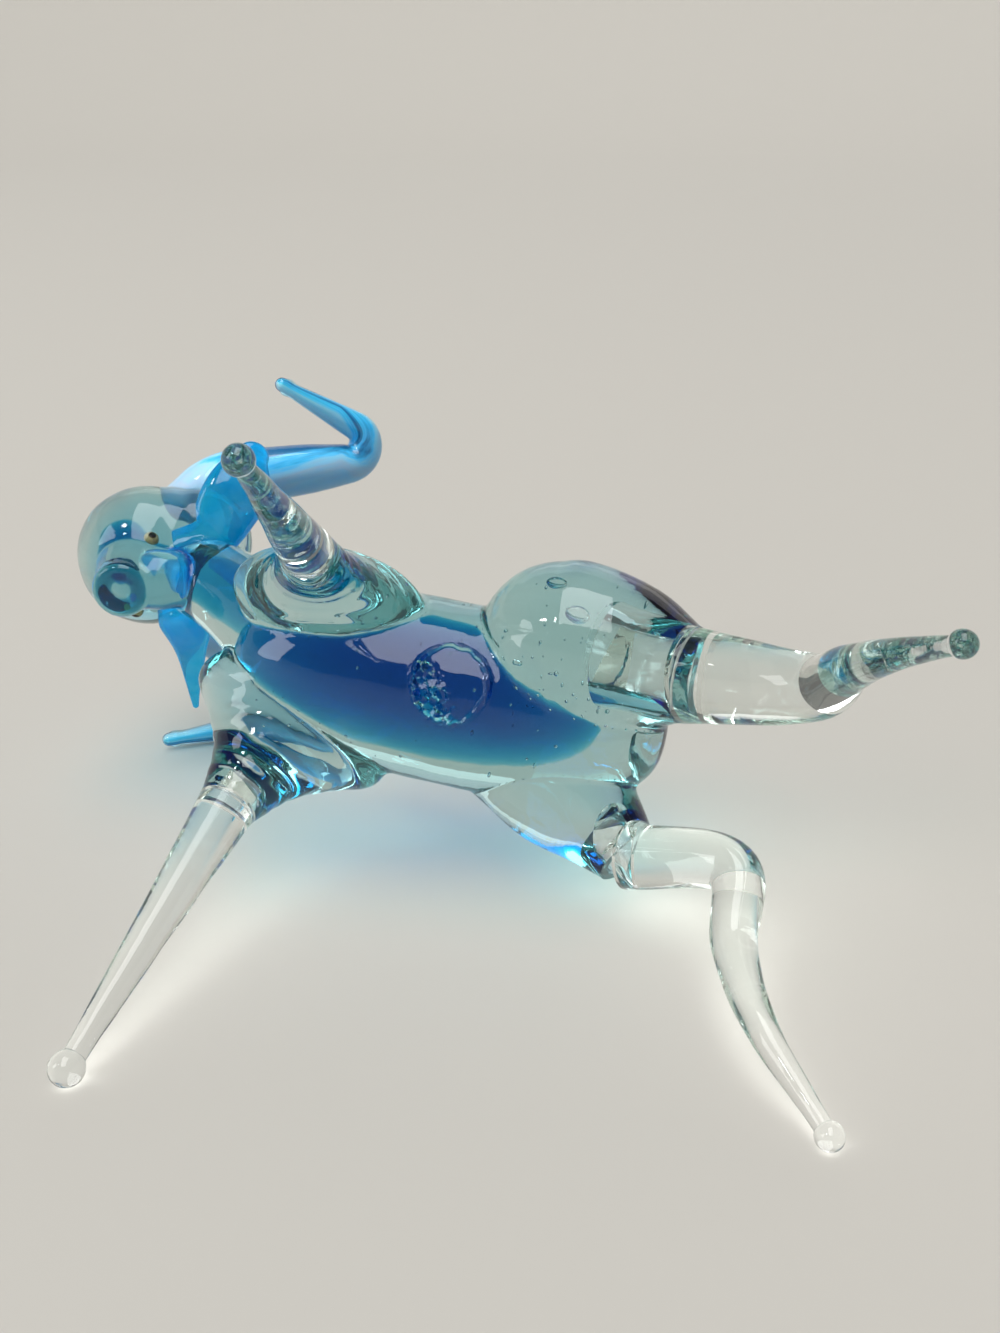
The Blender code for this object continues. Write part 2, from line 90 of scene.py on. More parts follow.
CASED_INDEX = 1.0  # of a bit inside glass of its own index, where no light bends at the join


def on_axis(x, aside=0.0, rise=0.0):
    """A point on the body's middle line, or off it by the given steps."""
    return Vector((x, aside, BODY_HEIGHT + rise))


def in_barrel(x, aside=0.0, rise=0.0):
    """A point on the line of the gather itself, which swings a few degrees off the middle line."""
    return on_axis(x, aside - x * SWING, rise)


def station(place, wide, thin=None):
    """One cross-section of a bit: its centre and its two half widths."""
    return (Vector(place), wide, wide if thin is None else thin)


def mix(first, second, share):
    """The station at a share of the way from the first to the second."""
    wide = first[1] + (second[1] - first[1]) * share
    thin = first[2] + (second[2] - first[2]) * share
    return (first[0].lerp(second[0], share), wide, thin)


def between(stations, per_span):
    """Stations on a smooth curve through the given ones, paced by the distances between them."""
    row = [mix(stations[1], stations[0], 2.0)] + stations + [mix(stations[-2], stations[-1], 2.0)]
    pace = [0.0]
    for here, there in zip(row, row[1:]):
        pace.append(pace[-1] + math.sqrt((there[0] - here[0]).length))
    flow = []
    for i in range(1, len(row) - 2):
        start, end = pace[i], pace[i + 1]
        for step in range(per_span):
            t = start + (end - start) * step / per_span
            before, here, after = (mix(row[k], row[k + 1], (t - pace[k]) / (pace[k + 1] - pace[k]))
                                   for k in range(i - 1, i + 2))
            early = mix(before, here, (t - pace[i - 1]) / (end - pace[i - 1]))
            late = mix(here, after, (t - start) / (pace[i + 2] - start))
            flow.append(mix(early, late, (t - start) / (end - start)))
    return flow + [stations[-1]]


def ovoid(start, end, radius, fullness, count):
    """Stations of a barrel with round ends from start to end."""
    stations = []
    for i in range(count + 1):
        u = -math.cos(math.pi * i / count)
        share = max(0.0, 1 - abs(u) ** fullness) ** (1 / fullness)
        stations.append(station(start.lerp(end, (u + 1) / 2), radius * share))
    return stations


def rings_along(stations, sides, facing=None):
    """Rings of points square to the path, or to a given facing, and the path's direction at each."""
    rings, aims = [], []
    count = len(stations)
    side = Vector((1, 0, 0))
    for i, (centre, wide, thin) in enumerate(stations):
        aim = facing or (stations[min(i + 1, count - 1)][0] - stations[max(i - 1, 0)][0]).normalized()
        side = side - aim * side.dot(aim)
        if side.length < 1e-4:
            side = aim.orthogonal()
        side.normalize()
        other = aim.cross(side)
        if max(wide, thin) < 1e-7:
            rings.append([centre])
        else:
            turns = (2 * math.pi * k / sides for k in range(sides))
            rings.append([centre + side * wide * math.cos(a) + other * thin * math.sin(a) for a in turns])
        aims.append(aim)
    return rings, aims


def loft(form, rings):
    """Add a closed skin over rings to a form; a ring of one point is a tip, and an open end gets a flat."""
    loops = [[form.verts.new(point) for point in ring] for ring in rings]
    faces = []
    for lower, upper in zip(loops, loops[1:]):
        count = max(len(lower), len(upper))
        for k in range(count):
            corners = [lower[k % len(lower)], lower[(k + 1) % len(lower)],
                       upper[(k + 1) % len(upper)], upper[k % len(upper)]]
            faces.append(form.faces.new(list(dict.fromkeys(corners))))
    for end in (loops[0], loops[-1]):
        if len(end) > 1:
            faces.append(form.faces.new(end))
    bmesh.ops.recalc_face_normals(form, faces=faces)
    return loops


def egg(form, middle, radius, tall, rows, sides, fullness=2.0):
    """Add an upright egg to a form, with its height as a share of its width."""
    half = DOWN * radius * tall
    loft(form, rings_along(ovoid(middle - half, middle + half, radius, fullness, rows), sides)[0])


def placed(name, data):
    """A new object in the scene that holds the given mesh, lamp or camera."""
    thing = bpy.data.objects.new(name, data)
    bpy.context.scene.collection.objects.link(thing)
    return thing


def worked(form, modifiers):
    """Change a form by the given modifiers, each a kind and its settings."""
    mesh = bpy.data.meshes.new("work")
    form.to_mesh(mesh)
    work = placed("work", mesh)
    for kind, settings in modifiers:
        modifier = work.modifiers.new(kind, kind)
        for name, value in settings.items():
            setattr(modifier, name, value)
    bpy.context.view_layer.update()
    done = work.evaluated_get(bpy.context.evaluated_depsgraph_get()).to_mesh()
    form.clear()
    form.from_mesh(done)
    bpy.data.objects.remove(work)
    bpy.data.meshes.remove(mesh)


SWAY = 0.00016  # how far the glass wanders off true
SWAY_LENGTH = 0.009  # the length over which it wanders
CREASE = math.radians(38)  # edges that turn more than this stay sharp
noise.seed_set(5)  # without a seed the sway starts from the clock


def finish_bit(name, form, material, slot, *nodes):
    """Turn a form into a piece of the figure where it lies, in place of its CAD nodes. Glass shaped by hand
    is never dead true, so the whole figure sways a little, the same way in all bits that meet at a place."""
    for vert in form.verts:
        vert.co += noise.noise_vector(vert.co / SWAY_LENGTH) * SWAY
    form.normal_update()
    mesh = bpy.data.meshes.new(name)
    form.to_mesh(mesh)
    form.free()
    mesh.transform(figure)
    mesh.shade_smooth()
    mesh.set_sharp_from_angle(angle=CREASE)
    mesh.materials.append(material)
    bit = placed(name, mesh)
    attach(bit, "root")
    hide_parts(*nodes)


def linear(colour):
    """The linear value of an sRGB hex colour."""
    parts = [int(colour[k:k + 2], 16) / 255 for k in (1, 3, 5)]
    return [p / 12.92 if p <= 0.04045 else ((p + 0.055) / 1.055) ** 2.4 for p in parts]


def add(tree, kind, sockets=None, **settings):
    """Add a node with its settings; a socket's value is a number, a colour or another node's output."""
    node = tree.nodes.new(kind)
    for name, value in settings.items():
        setattr(node, name, value)
    for name, value in (sockets or {}).items():
        if isinstance(value, bpy.types.NodeSocket):
            tree.links.new(value, node.inputs[name])
        else:
            node.inputs[name].default_value = value
    return node


CORD = 0.0035  # width of a cord
CORD_DEPTH = 0.00003
CORD_STRETCH = (0.35, 1.0, 1.0)  # cords are drawn out along the figure


def melt(name, seen_through, thickness, ior):
    """Solid glass whose colour is what a given thickness lets through, with faint cords, the streaks that
    hand stirring leaves in its skin; lamps shine into it. Returns the material and its shader."""
    material = bpy.data.materials.new(name)
    material.use_nodes = True
    tree = material.node_tree
    tree.nodes.clear()
    loss = [-math.log(max(part, 1e-4)) / thickness for part in linear(seen_through)]
    strongest = max(loss)
    where = add(tree, "ShaderNodeTexCoord")
    drawn = add(tree, "ShaderNodeMapping", {"Vector": where.outputs["Object"], "Scale": CORD_STRETCH})
    cords = add(tree, "ShaderNodeTexNoise", {
        "Vector": drawn.outputs[0], "Scale": 1 / CORD, "Detail": 2.0, "Distortion": 0.6})
    skin = add(tree, "ShaderNodeBump", {"Height": cords.outputs["Fac"], "Distance": CORD_DEPTH})
    shader = add(tree, "ShaderNodeBsdfPrincipled", {
        "Base Color": (1.0, 1.0, 1.0, 1.0), "Roughness": 0.0, "IOR": ior, "Transmission Weight": 1.0,
        "Normal": skin.outputs[0]})
    tint = add(tree, "ShaderNodeVolumeAbsorption", {
        "Color": (*(1 - part / strongest for part in loss), 1.0), "Density": strongest})
    ray = add(tree, "ShaderNodeLightPath")
    open_way = add(tree, "ShaderNodeBsdfTransparent")
    surface = add(tree, "ShaderNodeMixShader", {
        0: ray.outputs["Is Shadow Ray"], 1: shader.outputs[0], 2: open_way.outputs[0]})
    add(tree, "ShaderNodeOutputMaterial", {"Surface": surface.outputs[0], "Volume": tint.outputs[0]})
    return material, shader


# Cobalt blue glass inside clear glass of the same index: light goes straight through the join, so only the
# colour shows, deep blue where it is thick and cyan where its edge thins out.
cobalt, _ = melt("cobalt blue glass, cased", seen_through="#0E90D4", thickness=0.0095, ior=CASED_INDEX)
core = bmesh.new()
gather = ovoid(in_barrel(-CORE_BACK), in_barrel(CORE_FRONT), CORE_RADIUS, CORE_FULLNESS, 40)
loft(core, rings_along(gather, 48)[0])
for vert in core.verts:
    away = vert.co - in_barrel(vert.co.x)
    reach = away.dot(CORE_EDGE)
    if reach > 0:
        share = min(reach / away.length, 1.0)
        thinned = (away - CORE_EDGE * reach) * math.sqrt((1 - share) / (1 + share))
        vert.co += thinned + CORE_EDGE * reach * CORE_DRAWN - away
neck_base = on_axis(NECK_BASE_X)
neck_bow = neck_base.lerp(HEAD, 0.5) + NECK_BOW
loft(core, rings_along(between([station(neck_base, NECK_CORE_RADIUS), station(neck_bow, NECK_CORE_RADIUS),
                                station(HEAD, NECK_CORE_RADIUS * NECK_CORE_TAPER)], 10), 32)[0])
egg(core, HEAD + HEAD_CORE_SHIFT, HEAD_CORE_RADIUS, HEAD_CORE_TALL, rows=24, sides=32)
worked(core, [("REMESH", {"mode": "VOXEL", "voxel_size": VOXEL}), ("SMOOTH", {"iterations": CORE_SOFTENING})])
finish_bit("blue_core", core, cobalt, "blue_glass", "body_core", "neck_core")

# Aqua dip: the head's end of the core was dipped in pale aqua glass before the clear gather went over it. It
# has no edge that shows, and makes the head a little bluer than the rest.
DIP_RADIUS = 0.0115
DIP_TALL = 0.85
DIP_SHIFT = Vector((-0.002, 0.0, -0.002))
aqua, _ = melt("pale aqua glass, cased", seen_through="#B8E6F6", thickness=0.020, ior=CASED_INDEX)
dip = bmesh.new()
egg(dip, HEAD + DIP_SHIFT, DIP_RADIUS, DIP_TALL, rows=32, sides=48)
finish_bit("aqua_dip", dip, aqua, "blue_glass", "head_core")

# Clear body: soda-lime glass gathered over the blue core, with the neck's sleeve, the crown, the snout, two
# shoulder pads and two haunch bits fused on hot, so that they are one skin with soft creases at the joins.
BODY_RADIUS = 0.0186
BODY_FRONT = 0.043
BODY_BACK = 0.0455
BODY_FULLNESS = 2.6
NECK_BASE_RADIUS = 0.0125
NECK_RADIUS = 0.0096
NECK_TOP_RADIUS = 0.0080
BODY_SOFTENING = 9
HEAD_RADIUS = 0.0155
CROWN_TALL = 0.95
CROWN_FULLNESS = 2.1
NOSE_TIP = HEAD + Vector((-0.003, -0.004, -0.0235))
FACE_RADIUS = 0.0086
FACE_TOP = 0.004  # how far below the crown's middle the face starts
FACE_TOP_SHARE = 0.8  # of the face's radius
FACE_PROFILE = ((0.42, 1.0), (0.68, 0.5))  # share of the way to the nose, share of face in the face's radius
SNOUT_RADIUS = 0.0061
SNOUT_PROFILE = ((0.90, 1.0), (0.97, 0.97), (1.01, 0.74))  # share of the way, share of the snout's radius
SNOUT_DIMPLE = ((0.97, 0.36), (0.945, 0.0))  # the same of the hollow in its end
POLL = Vector((-0.0090, 0.0052, 0.0030))  # the back of the crown, off the head's middle
POLL_RADIUS = 0.0124
JAW = [((-0.0035, -0.0030, -0.0185), 0.0052), ((-0.0080, -0.0010, -0.0160), 0.0066),
       ((-0.0135, 0.0, -0.0148), 0.0056), ((-0.0170, 0.0005, -0.0142), 0.0044)]
FORE_START = {"left": (0.0255, 0.0095), "right": (0.0268, -0.0110)}
ELBOW = {"left": (0.0290, 0.0245, -0.0245), "right": (0.0333, -0.0292, -0.0195)}
ELBOW_RADIUS = {"left": 0.0052, "right": 0.0058}
SHOULDER_WIDE = {"left": 0.0200, "right": 0.0216}
SHOULDER_THIN = {"left": 0.0108, "right": 0.0138}
SHOULDER_PROFILE = [(-0.12, 0.70, 0.70), (0.0, 0.94, 0.94), (0.25, 1.0, 1.0), (0.38, 0.80, 0.84),
                    (0.66, 0.46, 0.60)]  # share of the way down, of the two half widths
HIND_START = {"left": (-0.0208, 0.0155, -0.0012), "right": (-0.0165, -0.0060, 0.0015)}
HIND_START_RADIUS = {"left": 0.0176, "right": 0.0138}
HAUNCH = {"left": (-0.0228, 0.0160, -0.0015), "right": (-0.0300, -0.0120, -0.0030)}
HAUNCH_RADIUS = {"left": 0.0179, "right": 0.0130}
THIGH = {"left": (-0.0354, 0.0180, -0.0048), "right": (-0.0385, -0.0158, -0.0070)}
THIGH_RADIUS = {"left": 0.0150, "right": 0.0094}
STIFLE = {"left": (-0.0453, 0.0193, -0.0090), "right": (-0.0443, -0.0186, -0.0110)}
STIFLE_RADIUS = {"left": 0.0094, "right": 0.0066}
HIND_STUB = {"left": 0.018, "right": 0.007}
FORE_STUB = 0.005
STUB_SHARE = 0.74
AIR_FILM = 0.00008  # trapped in the joint between a leg's end and its socket
SOCKET_TAPER = 0.96
SOCKET_CLEAR = 1.8  # the width cut away beyond a joint, in radii of the leg
SOCKET_REACH = 0.014
JOINT_SPARE = 0.004  # glass past a joint's plane, which the cut takes off again
JOINT_TAPER = {"fore": 0.96, "hind": 0.93}
FOOT_MIDDLE = 0.0026  # the height of a fore foot's middle, near enough for the shoulder's aim


def round_tip(stations, count=10):
    """Close the last station with a dome of its own radius."""
    centre, wide, thin = stations[-1]
    along = (centre - stations[-2][0]).normalized()
    dome = []
    for i in range(1, count + 1):
        turn = math.pi / 2 * i / count
        share = max(0.0, math.cos(turn)) if i < count else 0.0
        dome.append((centre + along * wide * math.sin(turn), wide * share, thin * share))
    return stations + dome


def socket(joint, aim, depth):
    """Rings of what is cut away for a leg: the hole for its stub and all beyond the plane of the joint."""
    centre, radius, _ = joint
    hole = radius * STUB_SHARE + AIR_FILM
    rings, _ = rings_along([station(centre + depth * (1 + AIR_FILM / depth.length), hole * SOCKET_TAPER),
                            station(centre + depth, hole), station(centre, hole)], 48)
    outer, _ = rings_along([station(centre, radius * SOCKET_CLEAR),
                            station(centre + aim * SOCKET_REACH, radius * SOCKET_CLEAR)], 48)
    return rings + outer


clear_body = bmesh.new()
barrel = ovoid(in_barrel(-BODY_BACK), in_barrel(BODY_FRONT), BODY_RADIUS, BODY_FULLNESS, 64)
loft(clear_body, rings_along(barrel, 72)[0])
loft(clear_body, rings_along(between([
    station(neck_base, NECK_BASE_RADIUS), station(neck_bow, NECK_RADIUS),
    station(HEAD, NECK_TOP_RADIUS)], 12), 48)[0])
egg(clear_body, HEAD, HEAD_RADIUS, CROWN_TALL, rows=40, sides=56, fullness=CROWN_FULLNESS)
for share in (0.5, 1.0):
    radius = HEAD_RADIUS + (POLL_RADIUS - HEAD_RADIUS) * share
    egg(clear_body, HEAD + POLL * share, radius, 1.0, rows=40, sides=56)
loft(clear_body, rings_along(round_tip(between([
    station(HEAD + Vector(place), radius) for place, radius in JAW], 8)), 40)[0])
face = [station(HEAD + DOWN * FACE_TOP, FACE_RADIUS * FACE_TOP_SHARE)]
face += [station(HEAD.lerp(NOSE_TIP, share), FACE_RADIUS * part + SNOUT_RADIUS * (1 - part))
         for share, part in FACE_PROFILE]
face += [station(HEAD.lerp(NOSE_TIP, share), SNOUT_RADIUS * part) for share, part in SNOUT_PROFILE]
dimple = [station(HEAD.lerp(NOSE_TIP, share), SNOUT_RADIUS * part) for share, part in SNOUT_DIMPLE]
loft(clear_body, rings_along(between(face, 8) + dimple, 48, (NOSE_TIP - HEAD).normalized())[0])


def off_body(point):
    """How far a point lies outside the barrel."""
    u = (point.x + BODY_BACK) / (BODY_FRONT + BODY_BACK) * 2 - 1
    radius = BODY_RADIUS * max(0.0, 1 - abs(u) ** BODY_FULLNESS) ** (1 / BODY_FULLNESS)
    return (point - in_barrel(point.x)).length - radius


def seam(rings):
    """Points of the line on which a bit's rings enter the barrel, in order round the bit."""
    line = []
    for run in zip(*(ring for ring in rings if len(ring) > 1)):
        for here, there in zip(run, run[1:]):
            if off_body(here) < 0 <= off_body(there):
                share = off_body(here) / (off_body(here) - off_body(there))
                line.append(here.lerp(there, share))
                break
    return line


cutters = bmesh.new()
shoulder_end, haunch_end = {}, {}
pad_seams, haunch_seams, pad_axes = [], [], []
for side in ("left", "right"):
    start = on_axis(*FORE_START[side])
    elbow = on_axis(*ELBOW[side])
    foot = Vector((*FORE_FOOT[side], FOOT_MIDDLE))
    pad = [station(start.lerp(elbow, share), SHOULDER_WIDE[side] * wide, SHOULDER_THIN[side] * thin)
           for share, wide, thin in SHOULDER_PROFILE]
    joint = station(elbow, ELBOW_RADIUS[side])
    pad = between(pad + [joint], 10)
    aim = ((foot - elbow).normalized() + (elbow - start).normalized()).normalized()
    spare = station(elbow + aim * JOINT_SPARE, joint[1] * JOINT_TAPER["fore"])
    pad_rings, _ = rings_along(pad + [spare], 56)
    loft(clear_body, pad_rings)
    pad_seams.append(seam(pad_rings))
    pad_axes.append((start, elbow, SHOULDER_WIDE[side]))
    shoulder_end[side] = (joint, aim, (start - elbow).normalized() * FORE_STUB)
    loft(cutters, socket(*shoulder_end[side]))

    thigh = on_axis(*THIGH[side])
    knee = on_axis(*STIFLE[side])
    bulge = between([station(on_axis(*HIND_START[side]), HIND_START_RADIUS[side]),
                     station(on_axis(*HAUNCH[side]), HAUNCH_RADIUS[side]),
                     station(thigh, THIGH_RADIUS[side]), station(knee, STIFLE_RADIUS[side])], 10)
    root = round_tip([bulge[1], bulge[0]])
    joint = bulge[-1]
    aim = (joint[0] - bulge[-2][0]).normalized()
    spare = station(knee + aim * JOINT_SPARE, joint[1] * JOINT_TAPER["hind"])
    bulge_rings, _ = rings_along(root[:1:-1] + bulge + [spare], 56)
    loft(clear_body, bulge_rings)
    haunch_seams.append(seam(bulge_rings))
    haunch_end[side] = (joint, aim, (thigh - knee).normalized() * HIND_STUB[side])
    loft(cutters, socket(*haunch_end[side]))
worked(clear_body, [("REMESH", {"mode": "VOXEL", "voxel_size": VOXEL}),
                    ("SMOOTH", {"iterations": BODY_SOFTENING})])

cutter_mesh = bpy.data.meshes.new("sockets")
cutters.to_mesh(cutter_mesh)
cutters.free()
sockets = placed("sockets", cutter_mesh)
worked(clear_body, [("BOOLEAN", {"operation": "DIFFERENCE", "solver": "MANIFOLD", "object": sockets})])
bpy.data.objects.remove(sockets)

# Scar: a low round on the belly where the rod that held the body was knocked off. It was warmed again, so its
# middle follows the belly and is smooth, and only the side that tore last is broken to chips.
PONTIL_RADIUS = 0.0082
PONTIL_RISE = 0.0010
PONTIL_CROWN = 0.0004
PONTIL_EDGE = 0.0008
PONTIL_X = -0.0022
PONTIL_TURN = math.radians(20)
BELLY_CURVE = 0.0045  # how far the belly falls away within the scar
BELLY_SKIN = 0.0007  # how far off the barrel's skin a point of the scar may lie
TORN = Vector((0.76, -0.61, -0.22))  # the way from the scar's middle to its torn side
TORN_FROM = 0.05  # where the tear starts, as a share of the scar's radius
TORN_OVER = 0.3  # the share in which it reaches its full depth
CHIP = 0.0014
CHIP_SHUFFLE = 5.0  # sets the leans of neighbouring chips apart
LIP = 0.00055
LIP_WIDTH = 0.0004
LIP_PLACE = 0.86  # share of the scar's radius
LIP_WANDER = 0.0006
LIP_WANDER_LENGTH = 0.0018
outward = Vector((0, math.sin(PONTIL_TURN), -math.cos(PONTIL_TURN)))
scar = on_axis(PONTIL_X) + outward * BODY_RADIUS


def on_scar(point):
    """A point's way from the scar's middle, or None where it isn't on the belly there."""
    away = point - scar
    height = away.dot(outward)
    away -= outward * height
    found = away.length < PONTIL_RADIUS and height > -BELLY_CURVE and abs(off_body(point)) < BELLY_SKIN
    return away if found else None


marked = [face for face in clear_body.faces if on_scar(face.calc_center_median()) is not None]
edges = list({edge for face in marked for edge in face.edges})
bmesh.ops.subdivide_edges(clear_body, edges=edges, cuts=2, use_grid_fill=True)
for vert in clear_body.verts:
    away = on_scar(vert.co)
    if away is not None:
        share = away.length / PONTIL_RADIUS
        edge = min(1.0, (1 - share) * PONTIL_RADIUS / PONTIL_EDGE)
        torn = min(1.0, max(0.0, (away.dot(TORN) / PONTIL_RADIUS - TORN_FROM) / TORN_OVER))
        nearest = noise.voronoi(vert.co / CHIP)[1][0]
        tilt = noise.cell_vector(nearest * CHIP_SHUFFLE) * 2 - Vector((1, 1, 1))
        chip = (vert.co - nearest * CHIP).dot(tilt)
        wander = noise.noise(vert.co / LIP_WANDER_LENGTH) * LIP_WANDER
        lip = math.exp(-((away.length - PONTIL_RADIUS * LIP_PLACE + wander) / LIP_WIDTH) ** 2) * LIP
        rise = PONTIL_RISE + PONTIL_CROWN * (1 - share ** 2) + torn * chip + lip
        vert.co += (vert.co - in_barrel(vert.co.x)).normalized() * rise * edge * edge * (3 - 2 * edge)

# Tool marks: the jacks that shaped each shoulder pad turned on it while it was soft, and left shallow rings
# round the pad, which fade out at the body and at the leg.
TOOL_STEP = 0.0032
TOOL_DEPTH = 0.00007
TOOL_FROM, TOOL_TO, TOOL_FADE = 0.30, 0.95, 0.1  # shares of the way from the pad's start to the elbow
TOOL_WIDE, TOOL_NARROWING = 1.15, 0.7  # how far off the pad's middle line they reach, in its half widths
TOOL_CLEAR = 0.0008  # of the barrel
TOOL_DRIFT = 0.012
clear_body.normal_update()
for start, elbow, reach in pad_axes:
    along = (elbow - start).normalized()
    for vert in clear_body.verts:
        run = (vert.co - start).dot(along)
        away = (vert.co - start - along * run).length
        share = run / (elbow - start).length
        near = away < reach * (TOOL_WIDE - TOOL_NARROWING * share)
        if TOOL_FROM < share < TOOL_TO and near and off_body(vert.co) > TOOL_CLEAR:
            edge = min(1.0, (share - TOOL_FROM) / TOOL_FADE, (TOOL_TO - share) / TOOL_FADE)
            drift = noise.noise(vert.co / TOOL_DRIFT)
            vert.co += vert.normal * edge * TOOL_DEPTH * math.sin(2 * math.pi * (run / TOOL_STEP + drift))

# Seeds: small bubbles caught in the glass where one bit was pressed on another, strung along the joins of the
# pads and haunches and loose in the thick parts, with two flat blisters in the left haunch.
SEED = (0.00012, 0.00034)
SEAM_SEED = 0.00008  # the smallest on a join
PAD_SEED, HAUNCH_SEED = 0.00020, 0.00034  # the largest on a join
SEAM_DEPTH = (0.0009, 0.0014)
BODY_SEEDS = 90
BODY_SEED_X = (-0.034, 0.034)
BODY_SEED_REACH = (0.011, 0.0165)
HAUNCH_SEEDS = 40
HAUNCH_SEED_REACH = 0.55  # in radii of the haunch
BLISTERS = [((0.006, 0.011, -0.004), 0.0015), ((0.001, 0.008, -0.009), 0.0018)]
BLISTER_SHAPE = (1.3, 0.9, 0.5)
chance = random.Random(7)
hollows = bmesh.new()


def bubble(place, radius, roundness, shape=(1.0, 1.0, 1.0)):
    """Add one bubble to the hollows in the glass."""
    bmesh.ops.create_icosphere(hollows, subdivisions=roundness, radius=radius,
                               matrix=Matrix.Translation(place) @ Matrix.Diagonal((*shape, 1.0)))


seams = [(line, PAD_SEED) for line in pad_seams] + [(line, HAUNCH_SEED) for line in haunch_seams]
for line, largest in seams:
    for point in line:
        inward = in_barrel(point.x) - point
        place = point + inward.normalized() * chance.uniform(*SEAM_DEPTH)
        bubble(place, chance.uniform(SEAM_SEED, largest), 1)
for _ in range(BODY_SEEDS):
    x = chance.uniform(*BODY_SEED_X)
    turn = chance.uniform(0, 2 * math.pi)
    reach = chance.uniform(*BODY_SEED_REACH)
    bubble(in_barrel(x, reach * math.sin(turn), reach * math.cos(turn)), chance.uniform(*SEED), 2)
for _ in range(HAUNCH_SEEDS):
    loose = Vector(chance.uniform(-HAUNCH_SEED_REACH, HAUNCH_SEED_REACH) for _ in range(3))
    bubble(on_axis(*HAUNCH["left"]) + loose * HAUNCH_RADIUS["left"], chance.uniform(*SEED), 2)
for place, radius in BLISTERS:
    bubble(on_axis(*HAUNCH["left"]) + Vector(place), radius, 3, BLISTER_SHAPE)
bmesh.ops.reverse_faces(hollows, faces=hollows.faces)
hollow_mesh = bpy.data.meshes.new("seeds")
hollows.to_mesh(hollow_mesh)
hollows.free()
clear_body.from_mesh(hollow_mesh)
bpy.data.meshes.remove(hollow_mesh)

# Fire-polished soda-lime glass: bright, sharp reflections on a faint aqua that deepens where it is thick.
GLASS_INDEX = 1.5
clear, _ = melt("soda-lime glass, fire-polished", seen_through="#CCE8E9", thickness=0.020, ior=GLASS_INDEX)
finish_bit("clear_body", clear_body, clear, "clear_glass", "body_casing", "neck_casing", "head_casing",
           "muzzle", "shoulder_left", "shoulder_right", "haunch_left", "haunch_right", "pontil_wad")

# Nose: a ring of teal glass pressed into the end of the snout while it was hot, with a clear dimple at its
# middle. It is cased in the clear glass, so only its colour shows, darkest where one looks along the ring.
NOSE_RADIUS = 0.0036
NOSE_THICKNESS = 0.0015
NOSE_SINK = 1.3  # how far below the snout's end the ring lies, in its thicknesses
NOSE_SIDES, NOSE_ROUND = 48, 16
nose = bmesh.new()
along = (NOSE_TIP - HEAD).normalized()
across = along.orthogonal().normalized()
slices = []
for k in range(NOSE_SIDES):
    outwards = Matrix.Rotation(2 * math.pi * k / NOSE_SIDES, 3, along) @ across
    centre = NOSE_TIP - along * NOSE_THICKNESS * NOSE_SINK + outwards * NOSE_RADIUS
    slices.append([nose.verts.new(centre + (outwards * math.cos(a) + along * math.sin(a)) * NOSE_THICKNESS)
                   for a in (2 * math.pi * j / NOSE_ROUND for j in range(NOSE_ROUND))])
for here, there in zip(slices, slices[1:] + slices[:1]):
    for j in range(NOSE_ROUND):
        after = (j + 1) % NOSE_ROUND
        nose.faces.new((here[j], there[j], there[after], here[after]))
bmesh.ops.recalc_face_normals(nose, faces=nose.faces)
teal, _ = melt("deep teal glass, cased", seen_through="#1C88AE", thickness=0.0038, ior=CASED_INDEX)
finish_bit("nose_ring", nose, teal, "blue_glass", "nose")

# Eyes: two small beads of olive glass, each with a drop of black glass on it for the pupil, sunk in the sides
# of the face while it was hot.
EYE_RADIUS = 0.0016
EYE_REACH = 0.0082  # from the face's middle line
EYE_DROP = 0.0115 / 0.0235  # share of the way from the crown's middle to the nose
LOOK_BACK = 0.25
LOOK_DOWN = 0.6

# Opaque olive glass, glossy, with a round black pupil: the pupil layer is 1 at the pupil's middle and falls
# to -1 at the back of the bead.
olive = bpy.data.materials.new("olive glass bead, black pupil")
olive.use_nodes = True
tree = olive.node_tree
tree.nodes.clear()
pupil = add(tree, "ShaderNodeAttribute", attribute_name="pupil")
iris = add(tree, "ShaderNodeValToRGB", {"Fac": pupil.outputs["Fac"]})
iris.color_ramp.elements[0].color = (*linear("#8A8862"), 1.0)
iris.color_ramp.elements[1].color = (*linear("#0D0B09"), 1.0)
iris.color_ramp.elements[0].position = 0.80
iris.color_ramp.elements[1].position = 0.90
bead = add(tree, "ShaderNodeBsdfPrincipled", {"Base Color": iris.outputs["Color"], "Roughness": 0.08})
add(tree, "ShaderNodeOutputMaterial", {"Surface": bead.outputs[0]})
for side, way in (("left", 1), ("right", -1)):
    eye = bmesh.new()
    layer = eye.verts.layers.float.new("pupil")
    look = Vector((-LOOK_BACK, way, 0)).normalized()
    place = HEAD.lerp(NOSE_TIP, EYE_DROP) + look * EYE_REACH
    egg(eye, place, EYE_RADIUS, 1.0, rows=16, sides=24)
    for vert in eye.verts:
        vert[layer] = (vert.co - place).normalized().dot((look + DOWN * LOOK_DOWN).normalized())
    finish_bit("eye_bead_" + side, eye, olive, "dark_glass", "eye_" + side)

